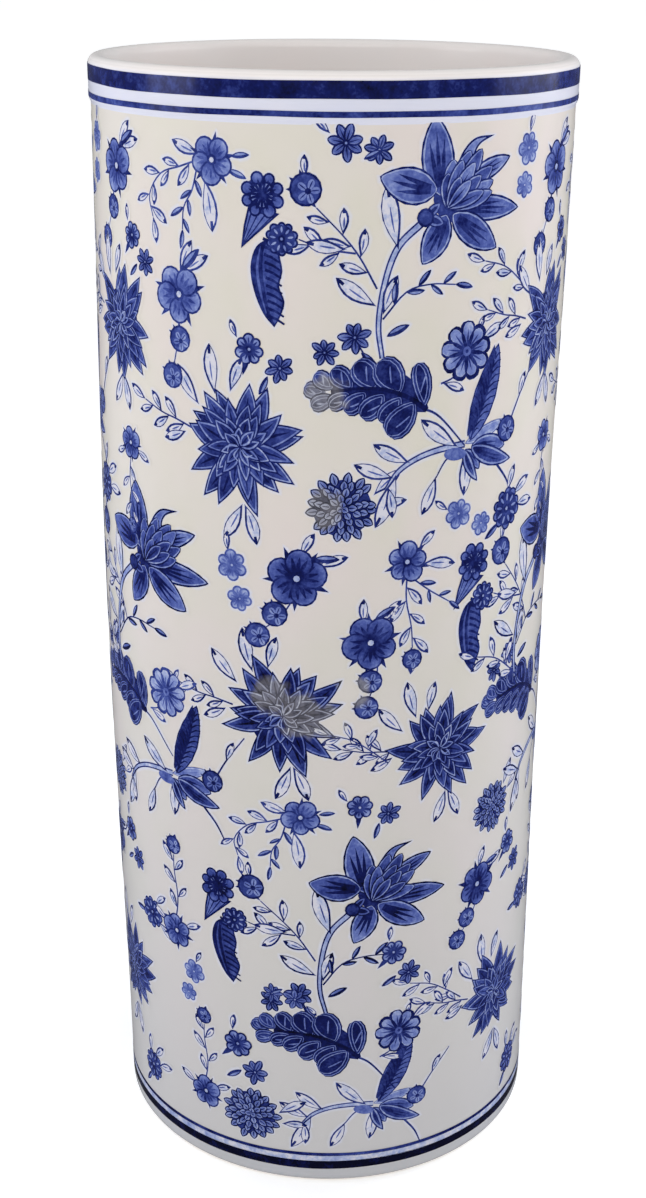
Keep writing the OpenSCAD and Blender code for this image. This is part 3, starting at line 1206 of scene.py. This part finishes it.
def brush_load(angle, seed):
    """How full the brush was along a painted ring, from about -1 to 1."""
    return (0.5 * math.sin(3 * angle + seed) + 0.3 * math.sin(7 * angle + 2.1 * seed)
            + 0.2 * math.sin(17 * angle + 3.7 * seed))


def painted_ring(material, name, radius_at, low, high, ink, spread, seed):
    """A band or line painted round the wall, its edges and its depth slightly uneven."""
    rows = 5
    points, inks = [], []
    for angle in TURNS:
        sway = 0.18 * math.sin(4 * angle + seed) + 0.10 * math.sin(11 * angle + 2 * seed)
        for k in range(rows):
            t = k / (rows - 1)
            z = low + (high - low) * t + sway * (0.7 if t > 0.5 else 1.0)
            points.append(on_wall(radius_at(z) + PAINT_LIFT, angle, z))
            inks.append(ink + spread * brush_load(angle + 0.02 * k, seed))
    piece = new_object(name, points, hoop_faces(rows, rows - 1), [material])
    attribute = piece.data.attributes.new("ink", "FLOAT", "POINT")
    attribute.data.foreach_set("value", inks)
    piece.data.shade_smooth()
    return piece


def rim_radius(z):
    """The collar's outer radius at a height, over its slope, side and lip."""
    lip = (COLLAR_R - BORE_R) / 2
    if z > HEIGHT - lip:
        return COLLAR_R - lip + math.sqrt(max(0.0, lip ** 2 - (z - HEIGHT + lip) ** 2))
    share = min(1.0, max(0.0, (z - COLLAR_LOW) / COLLAR_SLOPE))
    return WALL_R + (COLLAR_R - WALL_R) * (1 - math.cos(math.pi * share)) / 2


def wall_radius(z):
    return WALL_R


RINGS = (  # name, radius of the pot there, from and to height, ink, how uneven it is, seed
    ("rim_band", rim_radius, HEIGHT - 11.7, HEIGHT - 4.0, 1.02, 0.10, 1.0),
    ("rim_line", rim_radius, HEIGHT - 19.4, HEIGHT - 16.8, 0.86, 0.14, 2.3),
    ("foot_tint", wall_radius, 15.9, 19.5, 0.12, 0.06, 3.2),
    ("foot_line", wall_radius, 19.4, 21.6, 0.95, 0.2, 4.1),
    ("foot_band", wall_radius, 10.6, 16.0, 1.3, 0.03, 5.7),
)


def at_the_edge(entry, drawing):
    """The dark shapes of a drawing that cobalt bleeds out from, every second point of them. In a
    flower, only the outer ones."""
    dark = [s for s in drawing if s[1] > 0.55 and len(s[0]) > 8]
    if entry[0] not in FLOWERS:
        return [(s[0][::2], *s[1:]) for s in dark if s[1] > 0.8]
    heart = sum(p for s in dark for p in s[0]) / sum(len(s[0]) for s in dark)
    reach = max(abs(p - heart) for s in dark for p in s[0])
    return [(s[0][::2], *s[1:]) for s in dark if max(abs(p - heart) for p in s[0]) > 0.66 * reach]


def repeated(name, sheet, lift, step, material):
    """A sheet painted on every repeat, each a step further from the glaze than the last."""
    return [painted(f"{name}_{k + 1}", sheet, k * GIRTH / REPEATS, lift + step * k, material)
            for k in range(REPEATS)]


def paint_sprays(material, tint):
    """Every spray on every repeat, and one sheet of pale bleed under the sprays of each repeat.
    Neighbouring sprays lie at different heights above the glaze, so that none coincide."""
    pieces, outer, number = [], [], 0
    for first, spray, places in PLACES:
        for last, across, height, turn, scale in places:
            name = f"{first}_{last}"
            rng = random.Random(100 + number)
            strong = STRONG.get(name, 1.0)
            shapes = []
            for entry in spray:
                drawing = moved(drawn(entry, rng), complex(across, height), turn, scale)
                shapes += [(s[0], s[1] * strong, s[2] * strong, *s[3:]) for s in drawing]
                outer += at_the_edge(entry, drawing)
            sheet = flattened(shapes)
            lift = PAINT_LIFT + PAINT_STEP * (number % 4)
            pieces += repeated(name, sheet, lift, 0.0, material)
            number += 1
    return pieces + repeated("bleed", halo_sheet(outer), HALO_LIFT, HALO_STEP, tint)


# ---------------------------------------------------------------- assembly

make_camera()
make_lights()
make_world()
make_floor()
bpy.context.scene.view_settings.view_transform = "Standard"

white_glaze = glaze_material()
inside_glaze = inside_material()
foot_glaze = foot_material()
cobalt = cobalt_material()

members = {
    "body_wall": body_wall(white_glaze, inside_glaze),
    "rim_collar": rim_collar(rim_material(), inside_glaze),
    "foot_ring": foot_ring(foot_glaze),
    "base_slab": base_slab(inside_glaze, foot_glaze),
    "seam_coil": seam_coil(inside_glaze),
}
for node, piece in members.items():
    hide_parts(node)
    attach(piece, "root")

rings = [painted_ring(cobalt, *ring_of) for ring_of in RINGS]
for piece in rings + paint_sprays(cobalt, halo_material()):
    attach(piece, "root")
